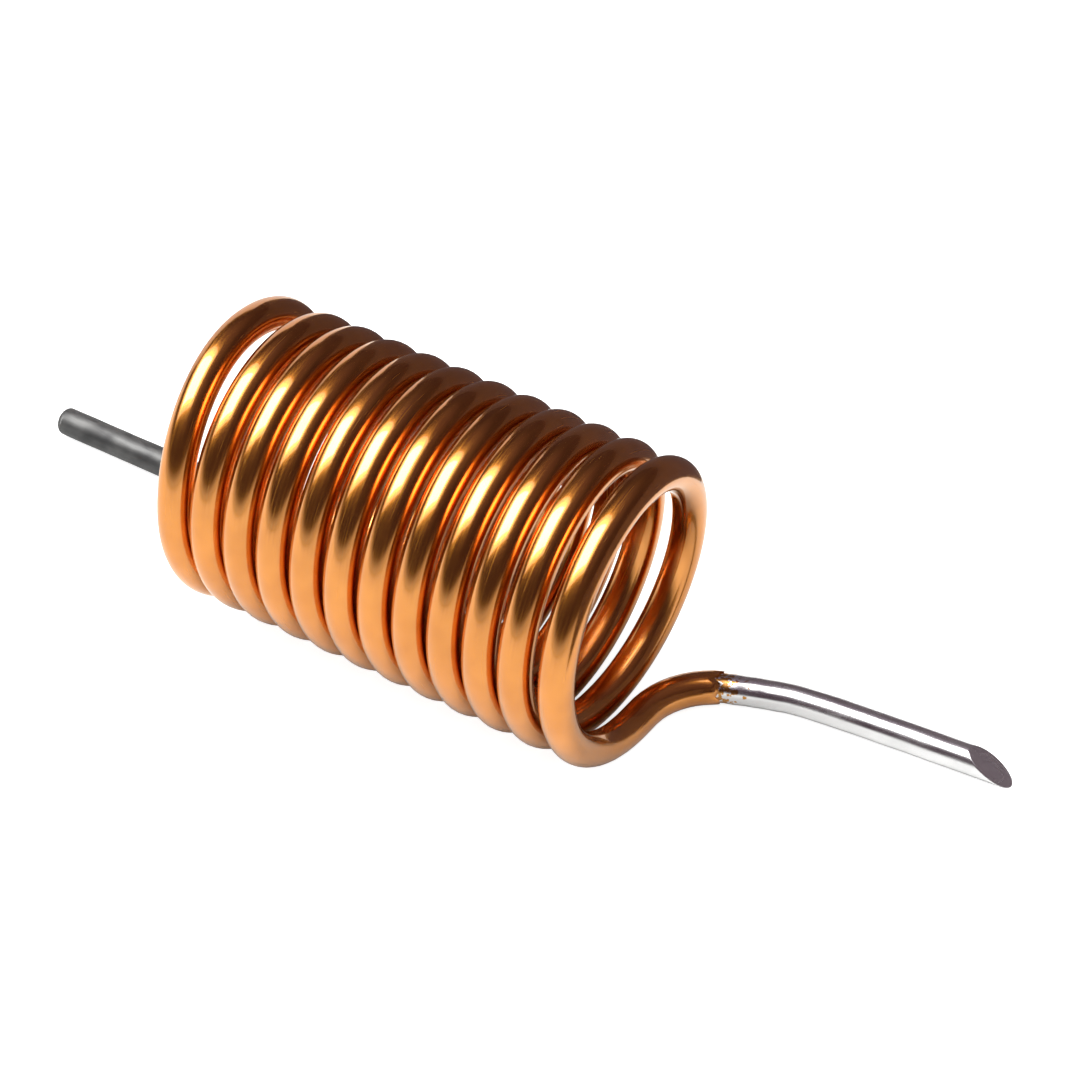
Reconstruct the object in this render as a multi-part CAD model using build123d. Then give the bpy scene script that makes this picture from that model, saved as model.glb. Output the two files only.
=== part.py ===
"""Air core inductor: a coil of enamelled copper wire that holds its own shape, with tinned ends.

The coil lies on its side, as it comes to rest. Its axis runs along X, and each turn climbs the +Y side,
comes over the top and goes down the -Y side. Both ends of the wire bend off at the bottom, on the +Y side,
and lie on the same surface, z = 0. The origin is on that surface, under the middle of the length.
Sizes are in millimetres, and a place on the wire is counted in turns from the bottom of the first turn.
"""

import os
from math import cos, pi, radians, sin

from build123d import *

os.makedirs("parts", exist_ok=True)

# Wire
copper_d = 0.80           # bare copper
enamel_film = 0.025       # thickness of the enamel
tin_film = 0.025          # thickness of the tin on the stripped ends
wire_flats = 8            # flats that the round enamelled wire is drawn with, to keep the turns light

# Winding
turns = 12
bore_d = 7.5              # the rod that the coil was wound on
turn_gap = 0.31           # air between two turns
stations_per_turn = 12    # points that the centre line is drawn through

# End turns, which the free ends have pulled out of line
first_spring = 0.42       # how far the first turn has sprung open
first_closes = (0.45, 0.95)         # from where to where it closes up to the second
last_lean = 0.36          # how far the back of the last turn leans out
last_leans = (-1.20, -0.75, -0.25)  # where it starts, is furthest out and ends, in turns from the last

# Rear end of the wire
rear_join = 46.0          # degrees round the coil, from the bottom, where the wire comes in
rear_stub = 0.4           # enamel left on the straight before the bend
rear_length = 5.8         # stripped and tinned

# Front end of the wire
front_bend_r = 2.65       # of the centre line
front_headings = (18.0, 12.0, 8.0)  # degrees from X of the stripped end's straight runs
front_runs = (2.2, 2.4, 4.2)        # their lengths
front_cut = 45.0          # how far the cutter's face leans back from a square cut, in degrees

# What follows from those
wire_d = copper_d + 2 * enamel_film
tinned_d = copper_d + 2 * tin_film
radius = (bore_d + wire_d) / 2      # of the turns' centre line
axis_height = radius + wire_d / 2
pitch = wire_d + turn_gap


def ease(start, end, t):
    """0 up to start, 1 from end on, and a smooth rise between them."""
    s = min(max((t - start) / (end - start), 0), 1)
    return s * s * (3 - 2 * s)


def axial(t):
    """Distance along the axis after t turns: the even pitch, and what the end turns are off it."""
    starts, peaks, ends = (turns + place for place in last_leans)
    spring = first_spring * (1 - ease(*first_closes, t))
    lean = last_lean * (ease(starts, peaks, t) - ease(peaks, ends, t))
    return pitch * t - spring + lean


def outward(t):
    """Unit vector from the axis to the wire."""
    return Vector(0, sin(2 * pi * t), -cos(2 * pi * t))


def centre_line(t):
    return Vector(axial(t), 0, axis_height) + outward(t) * radius


def direction(t, step=1e-4):
    """Unit vector along the wire."""
    return (centre_line(t + step) - centre_line(t - step)).normalized()


def heading(degrees):
    """Unit vector along the surface, so many degrees from X towards Y."""
    return Vector(1, 0, 0).rotate(Axis.Z, degrees)


def rod_along(points, diameter):
    """Round rod along straight runs, mitred where they meet."""
    path = Polyline(*points)
    across = Plane(origin=path @ 0, z_dir=path % 0)
    return sweep(across * Circle(diameter / 2), path=path, transition=Transition.RIGHT)


def bend(start, along, towards, bend_r):
    """Arc that leaves start heading along and turns until it is heading towards."""
    turn = radians(along.get_angle(towards))
    side = (towards - along * along.dot(towards)).normalized()
    end = start + (along * sin(turn) + side * (1 - cos(turn))) * bend_r
    return Edge.make_tangent_arc(start, along, end)


def make_turns(start, end):
    """The wound length of wire, wire_d across its flats, with flats facing the axis and away from it."""
    count = round((end - start) * stations_per_turn)
    stations = [start + (end - start) * i / count for i in range(count + 1)]
    path = Spline(*[centre_line(t) for t in stations], tangents=[direction(start), direction(end)],
                  tangent_scalars=[1, 1])
    across = Plane(origin=path @ 0, x_dir=outward(start), z_dir=path % 0)
    section = RegularPolygon(wire_d / 2, wire_flats, major_radius=False, rotation=180 / wire_flats)
    return sweep(across * section, path=path, is_frenet=True)


def face_at(solid, place):
    """The solid's end face there."""
    return solid.faces().sort_by(lambda face: (face.center() - place).length)[0]


def rear_bend():
    """Arc from the winding down to the surface, as large as lets the end lie on it along the axis."""
    start, along, towards = centre_line(rear_turn), direction(rear_turn) * -1, heading(180)
    drop = start.Z - (bend(start, along, towards, 1) @ 1).Z
    return bend(start, along, towards, (start.Z - wire_d / 2) / drop)


def joined_at(places, *pieces):
    """One solid from pieces that meet in the same face at each of the places."""
    ends = [face_at(piece, place) for piece in pieces for place in places]
    inside = [end for end in ends if min((end.center() - place).length for place in places) < enamel_film]
    return Solid(Shell([face for piece in pieces for face in piece.faces() if face not in inside]))


def trimmed(solid, tip, along):
    """The solid with its end cut off by cutters that lean back from the lowest point of the tip."""
    level = along.cross(Vector(0, 0, 1))
    lowest = Vector(tip.X, tip.Y, 0)
    cut = Plane(origin=lowest, z_dir=along.rotate(Axis(tip, level), front_cut))
    return split(solid, bisect_by=cut, keep=Keep.BOTTOM)


rear_turn = rear_join / 360

# Centre lines of the two ends
rear_arc = rear_bend()
rear_foot = rear_arc @ 1
rear_strip = rear_foot + heading(180) * rear_stub
rear_points = [rear_strip, rear_strip + heading(180) * rear_length]

front_arc = bend(centre_line(turns), direction(turns), heading(front_headings[0]), front_bend_r)
front_points = [front_arc @ 1]
for run, degrees in zip(front_runs, front_headings):
    front_points.append(front_points[-1] + heading(degrees) * run)


def make_wire():
    """The enamelled length of wire: the turns, and a bend carried on from each end of them."""
    joints = (centre_line(rear_turn), centre_line(turns))
    wound = make_turns(rear_turn, turns)
    rear_path = Wire([rear_arc, Edge.make_line(rear_foot, rear_strip)])
    rear = sweep(face_at(wound, joints[0]), path=rear_path)
    front = sweep(face_at(wound, joints[1]), path=front_arc)
    return joined_at(joints, wound, rear, front)


def make_front_end():
    """The stripped and tinned front end, with its slanting cut."""
    rod = rod_along(front_points, tinned_d)
    return trimmed(rod, front_points[-1], heading(front_headings[-1]))


nodes = {
    "enamelled_wire": make_wire(),
    "rear_tinned_end": rod_along(rear_points, tinned_d),
    "front_tinned_end": make_front_end(),
}

boxes = [solid.bounding_box() for solid in nodes.values()]
middle = (min(box.min.X for box in boxes) + max(box.max.X for box in boxes)) / 2
for name, solid in nodes.items():
    export_step(Pos(-middle, 0, 0) * solid, f"parts/{name}.step")
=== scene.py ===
# %% [markdown]
# # An air core inductor, worked out with numpy
# The real object is one length of copper wire in clear enamel, wound twelve times round a rod
# that was then slid out. Both ends are stripped and dipped in tin, so that they can be soldered.
# The wire's route is worked out with the same sums as the CAD part's, here in metres, and a round
# tube is carried along it. The finishes, the light and the camera come after that.
# The wire is drawn a little thicker than the CAD part's, with the same outside of the coil.

from math import asin, atan2, radians

import bpy
import numpy as np
from mathutils import Matrix, Vector


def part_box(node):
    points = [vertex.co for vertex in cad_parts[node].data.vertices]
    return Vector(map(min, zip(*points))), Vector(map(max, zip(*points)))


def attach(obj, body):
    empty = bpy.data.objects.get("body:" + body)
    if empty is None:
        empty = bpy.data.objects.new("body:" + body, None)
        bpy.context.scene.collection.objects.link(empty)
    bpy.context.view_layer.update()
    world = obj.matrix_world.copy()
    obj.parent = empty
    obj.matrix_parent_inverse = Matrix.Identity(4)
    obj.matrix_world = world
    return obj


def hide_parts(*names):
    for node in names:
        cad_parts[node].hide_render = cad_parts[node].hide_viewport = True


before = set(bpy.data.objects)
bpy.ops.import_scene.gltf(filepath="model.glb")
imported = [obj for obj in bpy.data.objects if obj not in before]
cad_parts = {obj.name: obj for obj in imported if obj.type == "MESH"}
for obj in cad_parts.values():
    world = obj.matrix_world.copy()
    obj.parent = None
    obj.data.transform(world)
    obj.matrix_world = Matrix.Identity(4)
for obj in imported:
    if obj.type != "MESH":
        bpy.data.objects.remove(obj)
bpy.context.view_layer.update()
print("CAD nodes:", sorted(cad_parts))

# %% [markdown]
# ## The sizes of the wire and its winding
# A coil is described by a handful of numbers: how thick the wire is, how wide the rod was, how
# far apart the turns lie and how many there are. Every shape below is worked out from these.
# The two end turns are a little out of line on the real coil, because its free ends pull on them.

# %% Sizes, in metres
MM = 0.001
AXIS_Z = 4.6 * MM              # height of the coil's axis above the table
WIRE_R = 0.515 * MM            # over the enamel
TIN_R = 0.45 * MM              # over the tin of the ends
ENAMEL = 0.025 * MM
TURNS = 12
COIL_R = AXIS_Z - WIRE_R       # from the axis to the middle of the wire
PITCH = 1.16 * MM
FIRST_SPRING = 0.31 * MM       # how far the first turn has sprung open
FIRST_CLOSES = (0.49, 0.73)    # from where to where it closes up, in turns
LAST_LEAN = 0.24 * MM          # how far the back of the last turn leans out
LAST_LEANS = (-1.20, -0.75, -0.25)             # where the lean starts, peaks and ends, in turns
LAST_OPENS = 0.22 * MM         # how far the last turn has opened by its foot
MIDDLE = 8.014 * MM            # from the first turn's foot to the middle of the whole length
REAR_TURN = 46 / 360           # where the rear end of the wire joins the first turn
print(f"mean turn: {2 * COIL_R / MM:.2f} mm across, {PITCH / WIRE_R / 2:.2f} wire diameters apart")

# %% [markdown]
# ## The winding
# A helix is a circle that moves along its axis as it goes round. It could be drawn by hand as a
# curve with many points, but a formula gives as many points as we like, all exactly on the coil.
# The end turns' spring and lean are smooth steps added to the distance along the axis.

# %% The helix
STEP = 1e-4                    # of a turn, either way, to find the wire's direction
COIL_POINTS = 1501             # that the winding is drawn through


def smooth_step(start, end, t):
    """0 up to start, 1 from end on, and three times the square less twice the cube between."""
    s = np.clip((t - start) / (end - start), 0, 1)
    return s * s * (3 - 2 * s)


def winding(t):
    """Points of the helix after t turns from the bottom: the sine and cosine of t whole turns
    across and up, and the pitch times t along, with the end turns' spring and lean."""
    starts, peaks, ends = (TURNS + place for place in LAST_LEANS)
    along = PITCH * t - FIRST_SPRING * (1 - smooth_step(*FIRST_CLOSES, t))
    along += LAST_LEAN * (smooth_step(starts, peaks, t) - smooth_step(peaks, ends, t))
    along += LAST_OPENS * smooth_step(peaks, TURNS, t)
    angle = 2 * np.pi * t
    return np.stack([along, COIL_R * np.sin(angle), AXIS_Z - COIL_R * np.cos(angle)], axis=1)


def unit(v):
    """The same directions with length 1."""
    return v / np.linalg.norm(v, axis=-1, keepdims=True)


def way(t):
    """Direction of the helix at t: a short step of its path, made length 1."""
    return unit(winding(np.array([t + STEP])) - winding(np.array([t - STEP])))[0]


turn_places = np.linspace(REAR_TURN, TURNS, COIL_POINTS)
coil_path = winding(turn_places)
print(f"winding: {np.linalg.norm(np.diff(coil_path, axis=0), axis=1).sum() / MM:.0f} mm of wire")

# %% [markdown]
# ## The bends at the two ends
# Each end of the wire leaves the winding along its own direction and bends until it lies on the
# table. A bend is an arc of a circle, so it needs only a start, two directions and a radius.
# The rear one gets whatever radius brings the wire down to the table exactly.

# %% The bends
ARC_POINTS = 40                # that each bend, and the rear lead, is drawn through
UP = np.array([0.0, 0.0, 1.0])
REAR_STUB = 0.4 * MM           # enamel left past the rear bend
FRONT_STUB = 0.35 * MM         # straight wire before the front bend
FRONT_BEND_R = 2.6 * MM
FRONT_HEADINGS = (25.0, 18.0)                  # degrees from X of the stripped end's first runs
FRONT_RUNS = np.array([1.1, 1.4]) * MM         # and their lengths, before it goes on to its tip


def arc(start, along, towards, radius, count):
    """Circular arc from start: along times the sine and a side step times one less the cosine of
    the angle turned, both times the radius. The side step is towards, square to along."""
    turned = np.linspace(0, np.arccos(np.clip(along @ towards, -1, 1)), count)[:, None]
    side = unit(towards - along * (along @ towards))
    return start + radius * (along * np.sin(turned) + side * (1 - np.cos(turned)))


def heading(degrees):
    """Direction along the table, so many degrees from X towards Y."""
    return np.array([np.cos(np.radians(degrees)), np.sin(np.radians(degrees)), 0.0])


rear_start, rear_way = coil_path[0], -way(REAR_TURN)
drop = rear_start[2] - arc(rear_start, rear_way, heading(180), 1.0, 2)[-1, 2]
rear_arc = arc(rear_start, rear_way, heading(180), (rear_start[2] - WIRE_R) / drop, ARC_POINTS)
front_start = coil_path[-1] + way(TURNS) * FRONT_STUB
front_arc = arc(front_start, way(TURNS), heading(FRONT_HEADINGS[0]), FRONT_BEND_R, ARC_POINTS)
wire_path = np.vstack([rear_arc[-1] + heading(180) * REAR_STUB, rear_arc[:0:-1], coil_path, front_arc])
wire_path[:, 0] -= MIDDLE
print(f"the wire ends at {wire_path[0] / MM} and {wire_path[-1] / MM} mm")

# %% [markdown]
# ## A tube along a path
# Blender can bevel a curve into a tube, but then nothing says how far along the wire a point is,
# and the finish needs that: the drawing lines of a wire run along it. So the surface is worked
# out here as a function of two numbers, the distance along the wire and the angle round it, and
# both are kept as a UV map. At each place two directions across the path are needed, and they
# must change smoothly. They come from a reference direction that is never along the path.

# %% The tube


def lengths(path):
    """Distance along the path to each of its points."""
    return np.concatenate([[0], np.cumsum(np.linalg.norm(np.diff(path, axis=0), axis=1))])


def route(path, reference):
    """A table of a path: distance, point, side and top. The side is the reference direction less
    its part along the path, made length 1, and the top is square to the path and the side."""
    along = unit(np.gradient(path, axis=0))
    side = unit(reference - along * np.sum(along * reference, axis=1, keepdims=True))
    return np.column_stack([lengths(path), path, side, np.cross(along, side)])


def tube(table, distance, angle, radius):
    """Points of a tube: the route's point at that distance, and from it the radius times the
    cosine of the angle to the side and times its sine to the top."""
    here = np.stack([np.interp(distance, table[:, 0], column) for column in table.T[1:]], axis=-1)
    centre, side, top = here[..., 0:3], here[..., 3:6], here[..., 6:9]
    reach = side * np.cos(angle)[..., None] + top * np.sin(angle)[..., None]
    return centre + reach * np.broadcast_to(radius, distance.shape)[..., None]


def skin(name, points, distance, girth):
    """A closed mesh over a grid of points: rows run along, columns run round. A quad joins each
    point to the next one round and along, and a fan to a middle point closes each end."""
    rows, columns = points.shape[:2]
    i, j = np.meshgrid(np.arange(rows - 1), np.arange(columns), indexing="ij")
    k = (j + 1) % columns
    quads = np.stack([i * columns + j, i * columns + k, (i + 1) * columns + k,
                      (i + 1) * columns + j], axis=-1).reshape(-1, 4)
    j, k, last = np.arange(columns), np.roll(np.arange(columns), -1), (rows - 1) * columns
    tail = np.stack([np.full(columns, rows * columns), k, j], axis=-1)
    tip = np.stack([np.full(columns, rows * columns + 1), last + j, last + k], axis=-1)
    corners = np.vstack([points.reshape(-1, 3), points[0].mean(0), points[-1].mean(0)])
    mesh = bpy.data.meshes.new(name)
    mesh.from_pydata(corners.tolist(), [], quads.tolist() + tail.tolist() + tip.tolist())
    corner_of = np.zeros(len(mesh.loops), dtype=np.int32)
    mesh.loops.foreach_get("vertex_index", corner_of)
    along = np.concatenate([distance.reshape(-1), [distance[0].mean(), distance[-1].mean()]])
    around = np.concatenate([np.tile(np.arange(columns), rows), [0, 0]]).astype(float)[corner_of]
    # The last column's quads end a whole girth round, not at 0, or the map would run backwards.
    seam = around[:4 * len(quads)].reshape(-1, 4) == 0
    seam &= (np.tile(np.arange(columns), rows - 1) == columns - 1)[:, None]
    around[:4 * len(quads)][seam.reshape(-1)] = columns
    uv = np.stack([along[corner_of], around * girth / columns], axis=-1) / MM
    mesh.uv_layers.new(name="Along and round").data.foreach_set("uv", uv.reshape(-1))
    mesh.polygons.foreach_set("use_smooth", np.arange(len(mesh.polygons)) < len(quads))
    piece = bpy.data.objects.new(name, mesh)
    bpy.context.scene.collection.objects.link(piece)
    return piece


# %% [markdown]
# ## The enamelled wire
# The wire is round, and clear enamel covers it up to where each end was stripped. The enamel stops
# in an uneven edge, because it is scraped away, so the last rings of the tube are pulled back by
# different amounts round the wire.
# Round the coil the reference direction is its axis. At the ends the wire turns into that very
# direction, so there the reference is a direction square to the bend, and in between it swings
# from one to the other.

# %% The enamelled winding
COLUMNS = 36
RING_STEP = 0.3 * MM
RAGGED_OVER = 1.2 * MM         # the uneven edge dies out over this length
RAGGED_BY = 0.45 * MM          # and is pulled back by at most this
EDGE_THINS = 0.6 * ENAMEL      # how much thinner the enamel is at its very edge
CLEAR = 0.002 * MM             # keeps the wire just inside the CAD part's box
REAR_SWUNG = 0.33              # where the reference has swung to the axis, in turns
FRONT_SWINGS = TURNS - 0.15    # where it starts to swing back
rng = np.random.default_rng(7)

round_angle = np.linspace(0, 2 * np.pi, COLUMNS, endpoint=False)
bend_square = unit(np.cross(rear_way, heading(180)))
swing_rear = 1 - smooth_step(REAR_TURN, REAR_SWUNG, turn_places)[:, None]
swing_front = smooth_step(FRONT_SWINGS, TURNS, turn_places)[:, None]
swing_both = swing_rear + swing_front
across_ends = swing_rear * bend_square + swing_front * UP
reference = across_ends * np.sin(swing_both * np.pi / 2) + heading(0) * np.cos(swing_both * np.pi / 2)
reference = np.vstack([
    np.tile(bend_square, (len(rear_arc), 1)),
    reference,
    np.tile(UP, (len(front_arc), 1)),
])
wire_route = route(wire_path, reference)
wire_length = wire_route[-1, 0]

pulled_back = rng.uniform(0, RAGGED_BY, COLUMNS)
pulled_back = (np.roll(pulled_back, 1) + 2 * pulled_back + np.roll(pulled_back, -1)) / 4
even = np.linspace(0, wire_length, int(wire_length / RING_STEP))[:, None]
distance = even - pulled_back * smooth_step(wire_length - RAGGED_OVER, wire_length, even)
distance += pulled_back[::-1] * (1 - smooth_step(0, RAGGED_OVER, even))
edge = np.minimum(even, wire_length - even)
radius = WIRE_R - CLEAR - EDGE_THINS * (1 - smooth_step(0, RING_STEP, edge))
angles = np.broadcast_to(round_angle, distance.shape)
GIRTH = 2 * np.pi * WIRE_R
winding_piece = skin("enamelled_winding", tube(wire_route, distance, angles, radius), distance, GIRTH)
print(f"{len(distance)} rings of {COLUMNS}, {wire_length / MM:.0f} mm of enamelled wire")

# %% [markdown]
# ## The tinned front end
# The stripped copper is dipped in molten tin. The tin wets it in a thin, bright, slightly uneven
# skin: a few waves of it run round and along the wire, and small rings gather near the enamel.
# It was bent by hand, so its corners are soft, and side cutters left it with a slanting face:
# each column of the grid simply stops where the cutter's plane meets it.

# %% The tinned front end
HIDDEN = 1.1 * MM              # how far the tin reaches back under the enamel's edge
CUT_SLANT = 1.5                # how far the cutter's face leans back, in widths of the lead
TIN_WAVE = 0.006 * MM          # how far the tin's waves swell it
TIP_SPARE = 0.06 * MM          # room for the tip's lower corner
FRONT_RINGS = 260              # of the grid, from the enamel to the tip
WAVES, WAVES_PER_MM = 7, (0.15, 0.9)
RINGS_APART = 0.62 * MM        # the small rings near the enamel
RINGS_FADE = 1.5 * MM
RINGS_HIGH = 0.012 * MM
RINGS_FLAT = 0.8               # share of that height at which their crests are flat
CUT_EDGE = 0.994               # share of the length from which the cut's edge draws in
CUT_EDGE_BY = 0.02 * MM


def rounded(points):
    """A smooth run past the corners of a bent rod: each straight piece keeps its middle half, and
    three rounds of that turn a corner into a curve."""
    for _ in range(3):
        near, far = points[:-1], points[1:]
        cut = np.stack([near * 0.75 + far * 0.25, near * 0.25 + far * 0.75], axis=1)
        points = np.vstack([points[:1], cut.reshape(-1, 3)[1:-1], points[-1:]])
    return points


def waves(distance, angle, seed):
    """Mean of some sine waves that run along and round the wire, between -1 and 1."""
    make = np.random.default_rng(seed)
    total = np.zeros(distance.shape)
    for _ in range(WAVES):
        per_mm, rounds = make.uniform(*WAVES_PER_MM), make.integers(-2, 3)
        total += np.sin(2 * np.pi * per_mm * distance / MM + rounds * angle + make.uniform(0, 6.3))
    return total / WAVES


runs = [heading(degrees) * run for degrees, run in zip(FRONT_HEADINGS, FRONT_RUNS)]
front_corners = wire_path[-1] + np.vstack([np.zeros(3), np.cumsum(runs, axis=0)])
front_corners[1:, 2] = TIN_R + TIN_WAVE
far_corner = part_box("front_tinned_end")[1]
front_tip = np.array([far_corner[0] - TIP_SPARE, far_corner[1] - TIN_R - TIN_WAVE, TIN_R + TIN_WAVE])
front_corners = np.vstack([front_corners, front_tip])
hidden_part = wire_path[wire_route[:, 0] > wire_length - HIDDEN]
front_path = np.vstack([hidden_part[:-1], rounded(front_corners)])
front_route = route(front_path, np.tile(UP, (len(front_path), 1)))
front_length = front_route[-1, 0]

stops = front_length - TIN_R * (1 + np.cos(round_angle)) * CUT_SLANT
even = np.linspace(0, 1, FRONT_RINGS)[:, None]
distance = even * stops
angles = np.broadcast_to(round_angle, distance.shape)
rings = np.sin(2 * np.pi * distance / RINGS_APART) * np.exp(-distance / RINGS_FADE)
radius = TIN_R + TIN_WAVE * waves(distance, angles, 3) + RINGS_HIGH * rings.clip(-1, RINGS_FLAT)
radius -= CUT_EDGE_BY * smooth_step(CUT_EDGE, 1.0, even)
front_piece = skin("front_tinned_lead", tube(front_route, distance, angles, radius), distance, GIRTH)
print(f"front end {front_length / MM:.1f} mm long, {HIDDEN / MM:.1f} of it under the enamel")

# %% [markdown]
# ## The tinned rear end
# The rear end was cut blunt before it was dipped, so the tin has rounded it over: towards the tip
# the radius follows a quarter of an ellipse.

# %% The tinned rear end
BLUNT = 0.22 * MM              # length over which the tip rounds over
FLAT = 0.25                    # share of the radius that stays flat at the very tip
REAR_HIDDEN = 0.3 * MM         # how far the tin reaches back under the enamel's edge
REAR_RINGS, TIP_RINGS = 120, 12          # of the grid, before the rounding and over it
rear_reach = wire_path[0, 0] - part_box("rear_tinned_end")[0][0]
rear_path = wire_path[0] + heading(180) * np.linspace(-REAR_HIDDEN, rear_reach, ARC_POINTS)[:, None]
rear_path[:, 2] -= (WIRE_R - TIN_R - TIN_WAVE) * np.linspace(0, 1, ARC_POINTS)
rear_route = route(rear_path, np.tile(UP, (len(rear_path), 1)))
rear_length = rear_route[-1, 0]
tip_places = rear_length - BLUNT * np.sin(np.linspace(np.pi / 2, 0, TIP_RINGS))[:-1]
even = np.concatenate([np.linspace(0, rear_length - BLUNT, REAR_RINGS), tip_places])[:, None]
distance = np.broadcast_to(even, (len(even), COLUMNS)).copy()
angles = np.broadcast_to(round_angle, distance.shape)
over = ((even - rear_length + BLUNT) / BLUNT).clip(0, 1)
rounding = FLAT + (1 - FLAT) * np.sqrt(1 - over ** 2)
radius = (TIN_R + TIN_WAVE * waves(distance, angles, 5)) * rounding
rear_piece = skin("rear_tinned_lead", tube(rear_route, distance, angles, radius), distance, GIRTH)
print(f"rear end {rear_length / MM:.1f} mm long")

# %% [markdown]
# ## A node group that all the finishes use
# Every wire is pulled through a die, which leaves very fine lines along it. A shader node group
# makes those lines once from the UV map, and the copper and the tin each use it with their own
# density. It also gives broad soft patches, because no dipped or wound metal is even all over.

# %% Drawing lines


def add(tree, kind, **settings):
    """A node of that kind, with its settings and its inputs' values given by name."""
    node = tree.nodes.new(kind)
    for name, value in settings.items():
        if hasattr(node, name):
            setattr(node, name, value)
        else:
            node.inputs[name.replace("_", " ")].default_value = value
    return node


lines_group = bpy.data.node_groups.new("Drawing lines", "ShaderNodeTree")
for name, in_out in [("Along", "INPUT"), ("Round", "INPUT"), ("Lines", "OUTPUT"), ("Patches", "OUTPUT")]:
    lines_group.interface.new_socket(name=name, in_out=in_out, socket_type="NodeSocketFloat")
inside = add(lines_group, "NodeGroupInput")
outside = add(lines_group, "NodeGroupOutput")
place = add(lines_group, "ShaderNodeUVMap", uv_map="Along and round")
parts = add(lines_group, "ShaderNodeSeparateXYZ")
stretched = add(lines_group, "ShaderNodeCombineXYZ")
long_way = add(lines_group, "ShaderNodeMath", operation="MULTIPLY")
short_way = add(lines_group, "ShaderNodeMath", operation="MULTIPLY")
fine = add(lines_group, "ShaderNodeTexNoise", Scale=1.0, Detail=3.0, Roughness=0.6)
broad = add(lines_group, "ShaderNodeTexNoise", Scale=0.9, Detail=2.0, Roughness=0.5)
for source, target in [
    (place.outputs["UV"], parts.inputs[0]),
    (parts.outputs["X"], long_way.inputs[0]),
    (inside.outputs["Along"], long_way.inputs[1]),
    (parts.outputs["Y"], short_way.inputs[0]),
    (inside.outputs["Round"], short_way.inputs[1]),
    (long_way.outputs[0], stretched.inputs["X"]),
    (short_way.outputs[0], stretched.inputs["Y"]),
    (stretched.outputs[0], fine.inputs["Vector"]),
    (place.outputs["UV"], broad.inputs["Vector"]),
    (fine.outputs["Fac"], outside.inputs["Lines"]),
    (broad.outputs["Fac"], outside.inputs["Patches"]),
]:
    lines_group.links.new(source, target)
print("group made:", lines_group.name)

# %% [markdown]
# ## Enamelled copper and tin
# Copper is a metal, so its colour is in its reflection. The enamel over it is clear and amber: it
# is the Principled shader's coat, glossy and tinted, and its tint deepens the copper beneath.
# The three finishes differ only in numbers, so one function builds them all.

# %% The finishes


def finish(name, plain_colour, **values):
    """A material with a Principled shader, whose plain values are set on its own sockets."""
    made = bpy.data.materials.new(name)
    made.use_nodes = True
    made.diffuse_color = (*plain_colour, 1)
    shader = made.node_tree.nodes["Principled BSDF"]
    for key, value in values.items():
        shader.inputs[key.replace("_", " ")].default_value = value
    return made, made.node_tree, shader


LINE_DEEP = 0.01 * MM          # of the bump, at a depth of 1


def drawn_metal(name, tones, roughness, lines, depth, **values):
    """A metal with drawing lines: two tones in patches, a range of roughness, and a bump. The
    lines' two numbers say how fast they change along the wire and round it."""
    made, tree, shader = finish(name, tones[0], Metallic=1.0, **values)
    drawn = add(tree, "ShaderNodeGroup", node_tree=lines_group)
    drawn.inputs["Along"].default_value, drawn.inputs["Round"].default_value = lines
    tone = add(tree, "ShaderNodeMix", data_type="RGBA")
    tone.inputs[6].default_value, tone.inputs[7].default_value = (*tones[0], 1), (*tones[1], 1)
    spread = add(tree, "ShaderNodeMapRange", From_Min=0.3, From_Max=0.7)
    rough = add(tree, "ShaderNodeMapRange", From_Min=0.3, From_Max=0.7,
                To_Min=roughness[0], To_Max=roughness[1])
    bump = add(tree, "ShaderNodeBump", Strength=depth, Distance=LINE_DEEP)
    for source, target in [
        (drawn.outputs["Patches"], spread.inputs["Value"]),
        (spread.outputs["Result"], tone.inputs[0]),
        (tone.outputs[2], shader.inputs["Base Color"]),
        (drawn.outputs["Lines"], rough.inputs["Value"]),
        (rough.outputs["Result"], shader.inputs["Roughness"]),
        (drawn.outputs["Lines"], bump.inputs["Height"]),
        (bump.outputs["Normal"], shader.inputs["Normal"]),
    ]:
        tree.links.new(source, target)
    return made, tree, shader, tone


copper = drawn_metal(
    "Enamelled copper", tones=[(0.64, 0.29, 0.060), (0.76, 0.36, 0.085)], roughness=(0.14, 0.28),
    lines=(0.35, 16.0), depth=0.1, Coat_Weight=1.0, Coat_Roughness=0.03, Coat_IOR=1.55,
    Coat_Tint=(1.0, 0.82, 0.56, 1.0))[0]
bright_tin, tree, shader, tone = drawn_metal(
    "Bright tin", tones=[(0.80, 0.80, 0.79), (0.92, 0.92, 0.91)], roughness=(0.16, 0.30),
    lines=(0.5, 3.0), depth=0.15)
# The rear end's tin is coloured near black, far darker than the front end's tin, and it is rougher.
dark_rough_tin = drawn_metal(
    "Dark rough tin", tones=[(0.06, 0.06, 0.06), (0.15, 0.15, 0.145)], roughness=(0.45, 0.62),
    lines=(0.5, 5.0), depth=0.4)[0]
print("finishes:", [m.name for m in bpy.data.materials if m.use_nodes])

# %% [markdown]
# ## Where the tin meets the enamel
# Scraping leaves flecks of enamel and bare copper that the tin doesn't wet. A noise is compared
# with the distance along the wire, so that there are many flecks by the enamel and none further on.

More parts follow.
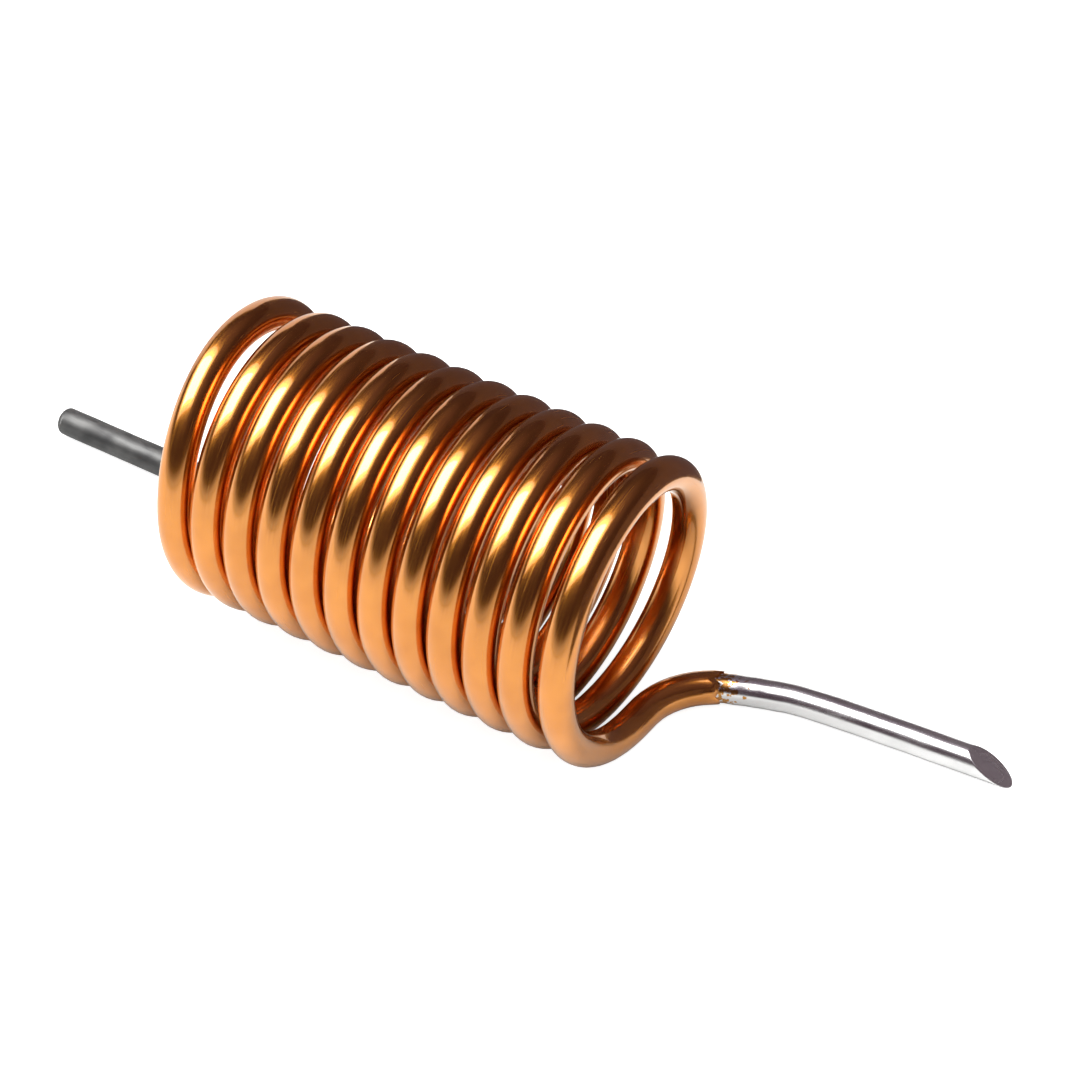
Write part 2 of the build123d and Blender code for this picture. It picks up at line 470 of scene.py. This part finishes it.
# %% Flecks of copper in the tin
FLECKS_END = 2.3               # in millimetres along the lead, as the UV map is
FLECK_LEVELS = (0.46, 0.80)    # what the noise has to pass, by the enamel and where they end
FLECK_COLOUR = (0.55, 0.27, 0.08, 1)
place = add(tree, "ShaderNodeUVMap", uv_map="Along and round")
parts = add(tree, "ShaderNodeSeparateXYZ")
fleck_noise = add(tree, "ShaderNodeTexNoise", Scale=5.0, Detail=3.0, Roughness=0.6)
fewer = add(tree, "ShaderNodeMapRange", From_Min=HIDDEN / MM, From_Max=FLECKS_END,
            To_Min=FLECK_LEVELS[0], To_Max=FLECK_LEVELS[1])
is_fleck = add(tree, "ShaderNodeMath", operation="GREATER_THAN")
flecked = add(tree, "ShaderNodeMix", data_type="RGBA")
flecked.inputs[7].default_value = FLECK_COLOUR
for source, target in [
    (place.outputs["UV"], parts.inputs[0]),
    (place.outputs["UV"], fleck_noise.inputs["Vector"]),
    (parts.outputs["X"], fewer.inputs["Value"]),
    (fleck_noise.outputs["Fac"], is_fleck.inputs[0]),
    (fewer.outputs["Result"], is_fleck.inputs[1]),
    (is_fleck.outputs[0], flecked.inputs[0]),
    (tone.outputs[2], flecked.inputs[6]),
    (flecked.outputs[2], shader.inputs["Base Color"]),
]:
    tree.links.new(source, target)
print("flecks end", FLECKS_END, "mm along the lead")

# %% [markdown]
# ## What each piece stands for
# The CAD solids stay behind the scenes for collision, and each new piece takes the place of one.

# %% Ride and replace
for piece, node, slot, material in [
    (winding_piece, "enamelled_wire", "enamelled_copper", copper),
    (front_piece, "front_tinned_end", "tin", bright_tin),
    (rear_piece, "rear_tinned_end", "tin", dark_rough_tin),
]:
    piece.data.materials.append(material)
    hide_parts(node)
    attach(piece, "root")

# %% [markdown]
# ## The table and the cards
# Polished metal shows its surroundings more than itself. A white table lights the coil from below.
# Round the coil stand a dark card, for the bands that make the copper look like metal, and a pale
# one, for the thin bright lines on the turns' shoulders.

# %% The table and the cards


def sheet_of(name, corners, faces):
    """An object from corners and faces, linked to the scene."""
    mesh = bpy.data.meshes.new(name)
    mesh.from_pydata(corners, [], faces)
    made = bpy.data.objects.new(name, mesh)
    bpy.context.scene.collection.objects.link(made)
    return made


TABLE_HALF = 1.5               # metres
TABLE_Z = -0.02 * MM
PAPER_GLOW = 0.85              # what the camera alone sees, as an overexposed backdrop looks
square = [(-1, -1), (1, -1), (1, 1), (-1, 1)]
table_corners = [(x * TABLE_HALF, y * TABLE_HALF, TABLE_Z) for x, y in square]
table_top = sheet_of("table_top", table_corners, [(0, 1, 2, 3)])
paper, tree, shader = finish("White paper", (0.9, 0.9, 0.9), Base_Color=(0.54, 0.54, 0.54, 1),
                             Roughness=0.8, Specular_IOR_Level=0.1, Emission_Color=(1, 1, 1, 1))
ray = add(tree, "ShaderNodeLightPath")
glow = add(tree, "ShaderNodeMath", operation="MULTIPLY")
glow.inputs[1].default_value = PAPER_GLOW
tree.links.new(ray.outputs["Is Camera Ray"], glow.inputs[0])
tree.links.new(glow.outputs[0], shader.inputs["Emission Strength"])
table_top.data.materials.append(paper)

CARD_FOOT = (25 * MM, 14 * MM)      # half the width and depth of the oval that the cards stand on
CARD_POINTS = 60


def card(name, start, end, high, colour):
    """An upright curved card round the coil from start to end, in degrees from X towards Y, that
    only reflections see. Each corner of its foot is on an oval."""
    span = np.radians(np.linspace(start, end, CARD_POINTS))
    foot = np.stack([CARD_FOOT[0] * np.cos(span), CARD_FOOT[1] * np.sin(span), 0 * span], axis=1)
    j = np.arange(len(span) - 1)
    faces = np.stack([j, j + 1, len(span) + j + 1, len(span) + j], axis=-1)
    made = sheet_of(name, np.vstack([foot, foot + (0, 0, high)]).tolist(), faces.tolist())
    made.visible_camera = made.visible_diffuse = made.visible_shadow = False
    board = finish(name, colour, Base_Color=(*colour, 1), Roughness=0.9, Specular_IOR_Level=0.0)[0]
    made.data.materials.append(board)
    return made


dark_card = card("dark_card", start=-35, end=118, high=13 * MM, colour=(0.085, 0.065, 0.075))
pale_card = card("pale_card", start=120, end=175, high=15 * MM, colour=(0.80, 0.76, 0.78))
print("table top", 2 * TABLE_HALF, "m wide")

# %% [markdown]
# ## The lights and the room
# A large soft light hangs above the coil, brighter in its middle. Reflections see a low white wall
# and a dark room above it. Everything else is lit by an even grey.

# %% Lights


def soft_light(name, towards, away, across, watts):
    """An oblong area light that far away in that direction, facing the coil, its first side
    along the coil's axis."""
    data = bpy.data.lights.new(name, "AREA")
    data.shape, data.energy = "RECTANGLE", watts
    data.size, data.size_y = across
    lamp = bpy.data.objects.new(name, data)
    direction = Vector(towards).normalized()
    lamp.location = direction * away
    lamp.rotation_euler = (-asin(direction.y), atan2(direction.x, direction.z), 0)
    lamp.visible_camera = False
    bpy.context.scene.collection.objects.link(lamp)


OVERHEAD = (-0.41, -0.19, 0.89)     # the direction in which both lights hang
soft_light("overhead", OVERHEAD, away=0.35, across=(0.52, 0.32), watts=1.0)
soft_light("overhead_core", OVERHEAD, away=0.34, across=(0.32, 0.20), watts=1.7)

WALL = (0.80, 0.80, 0.80)
SKY = [                        # colour against the sine of the height above the horizon
    (0.06, WALL),
    (0.20, (0.060, 0.036, 0.048)),
    (0.60, (0.060, 0.036, 0.048)),
    (0.95, (0.16, 0.11, 0.15)),
]
world = bpy.data.worlds.new("Studio")
world.use_nodes = True
tree = world.node_tree
room = tree.nodes["Background"]
ray = add(tree, "ShaderNodeLightPath")
seen = add(tree, "ShaderNodeMix", data_type="RGBA")
seen.inputs[6].default_value = (*WALL, 1)
sky = add(tree, "ShaderNodeTexCoord")
height = add(tree, "ShaderNodeSeparateXYZ")
bands = add(tree, "ShaderNodeValToRGB").color_ramp
for _ in range(len(SKY) - 2):
    bands.elements.new(0.5)
for stop, (place, colour) in zip(bands.elements, SKY):
    stop.position, stop.color = place, (*colour, 1)
tree.links.new(sky.outputs["Generated"], height.inputs[0])
tree.links.new(height.outputs["Z"], tree.nodes["Color Ramp"].inputs["Fac"])
tree.links.new(tree.nodes["Color Ramp"].outputs["Color"], seen.inputs[7])
tree.links.new(ray.outputs["Is Glossy Ray"], seen.inputs[0])
tree.links.new(seen.outputs[2], room.inputs["Color"])
bpy.context.scene.world = world
bpy.context.scene.view_settings.view_transform = "Standard"

# %% [markdown]
# ## The camera
# It stands to the right of the coil's front and well above it, and looks along the row of turns.

# %% The camera
EYE = Vector((35.30, -55.10, 62.69)) * MM
AIM = Vector((1.79, 1.52, 4.27)) * MM
ROLL = radians(1.85)
view = bpy.data.cameras.new("Camera")
view.lens, view.sensor_width, view.clip_start = 100.9, 36, MM
camera = bpy.data.objects.new("Camera", view)
turned = (AIM - EYE).to_track_quat("-Z", "Y").to_matrix() @ Matrix.Rotation(ROLL, 3, "Z")
camera.matrix_world = Matrix.Translation(EYE) @ turned.to_4x4()
bpy.context.scene.collection.objects.link(camera)
bpy.context.scene.camera = camera
print("camera stands", round((AIM - EYE).length / MM, 1), "mm away")
